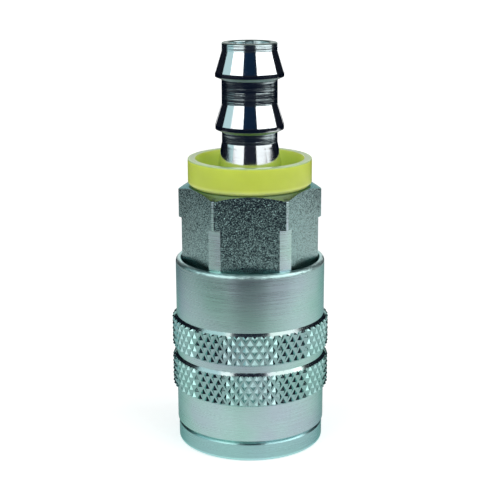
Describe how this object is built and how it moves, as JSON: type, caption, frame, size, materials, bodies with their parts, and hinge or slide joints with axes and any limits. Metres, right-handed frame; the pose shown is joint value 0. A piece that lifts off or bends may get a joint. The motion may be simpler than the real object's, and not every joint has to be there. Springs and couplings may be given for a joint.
{
  "type": "air hose quick coupler",
  "caption": "Air hose quick coupler: a barbed push-on hose stem and hexagon above a sprung release sleeve with knurled grip bands, round a ball-locked plug socket with a check valve.",
  "frame": {"origin": "centre of the mouth's rim, on the plane that the coupler stands on", "axes": "+Z from the mouth up to the hose stem; the hexagon's flats face +Y and -Y"},
  "size_m": [0.0264, 0.0264, 0.0671],
  "materials": {
    "plated_body": "turned steel, zinc plated",
    "plated_sleeve": "turned and knurled steel, zinc plated",
    "plated_adapter": "hexagon bar, turned to a bright stem and zinc plated",
    "collar_plastic": "moulded, yellow-green, lets a little light through",
    "plain_steel": "stamped",
    "spring_wire": "drawn wire",
    "seal_rubber": "moulded nitrile rubber",
    "valve_brass": "turned",
    "ball_steel": "ground and polished"
  },
  "bodies": {
    "body": {"socket_body": "plated_body", "hose_adapter": "plated_adapter", "hose_collar": "collar_plastic", "adapter_gasket": "seal_rubber", "plug_seal": "seal_rubber", "sleeve_spring": "spring_wire", "valve_spring": "spring_wire"},
    "washer": {"spring_washer": "plain_steel"},
    "sleeve": {"release_sleeve": "plated_sleeve"},
    "valve": {"valve_poppet": "valve_brass", "valve_seal": "seal_rubber"},
    "ball_1": {"locking_ball_1": "ball_steel"},
    "ball_2": {"locking_ball_2": "ball_steel"},
    "ball_3": {"locking_ball_3": "ball_steel"},
    "ball_4": {"locking_ball_4": "ball_steel"},
    "ball_5": {"locking_ball_5": "ball_steel"},
    "ball_6": {"locking_ball_6": "ball_steel"}
  },
  "joints": [
    {"name": "sleeve_slide", "type": "slide", "parent": "body", "child": "washer", "axis": [0, 0, 1], "range_m": [0, 0.004], "stiffness_N_per_m": 2500, "deforming": ["sleeve_spring"]},
    {"name": "sleeve_turn", "type": "hinge", "parent": "washer", "child": "sleeve", "pos_m": [0, 0, 0.014], "axis": [0, 0, 1], "continuous": true},
    {"name": "valve_open", "type": "slide", "parent": "body", "child": "valve", "axis": [0, 0, 1], "range_m": [0, 0.0035], "stiffness_N_per_m": 500, "deforming": ["valve_spring"]},
    {"name": "ball_1_slide", "type": "slide", "parent": "body", "child": "ball_1", "axis": [1, 0, 0], "range_m": [0, 0.00107]},
    {"name": "ball_2_slide", "type": "slide", "parent": "body", "child": "ball_2", "axis": [0.5, 0.866, 0], "range_m": [0, 0.00107]},
    {"name": "ball_3_slide", "type": "slide", "parent": "body", "child": "ball_3", "axis": [-0.5, 0.866, 0], "range_m": [0, 0.00107]},
    {"name": "ball_4_slide", "type": "slide", "parent": "body", "child": "ball_4", "axis": [-1, 0, 0], "range_m": [0, 0.00107]},
    {"name": "ball_5_slide", "type": "slide", "parent": "body", "child": "ball_5", "axis": [-0.5, -0.866, 0], "range_m": [0, 0.00107]},
    {"name": "ball_6_slide", "type": "slide", "parent": "body", "child": "ball_6", "axis": [0.5, -0.866, 0], "range_m": [0, 0.00107]}
  ],
  "couplings": [
    {"joint": "ball_1_slide", "follows": "sleeve_slide", "ratio": 0.265},
    {"joint": "ball_2_slide", "follows": "sleeve_slide", "ratio": 0.265},
    {"joint": "ball_3_slide", "follows": "sleeve_slide", "ratio": 0.265},
    {"joint": "ball_4_slide", "follows": "sleeve_slide", "ratio": 0.265},
    {"joint": "ball_5_slide", "follows": "sleeve_slide", "ratio": 0.265},
    {"joint": "ball_6_slide", "follows": "sleeve_slide", "ratio": 0.265}
  ]
}
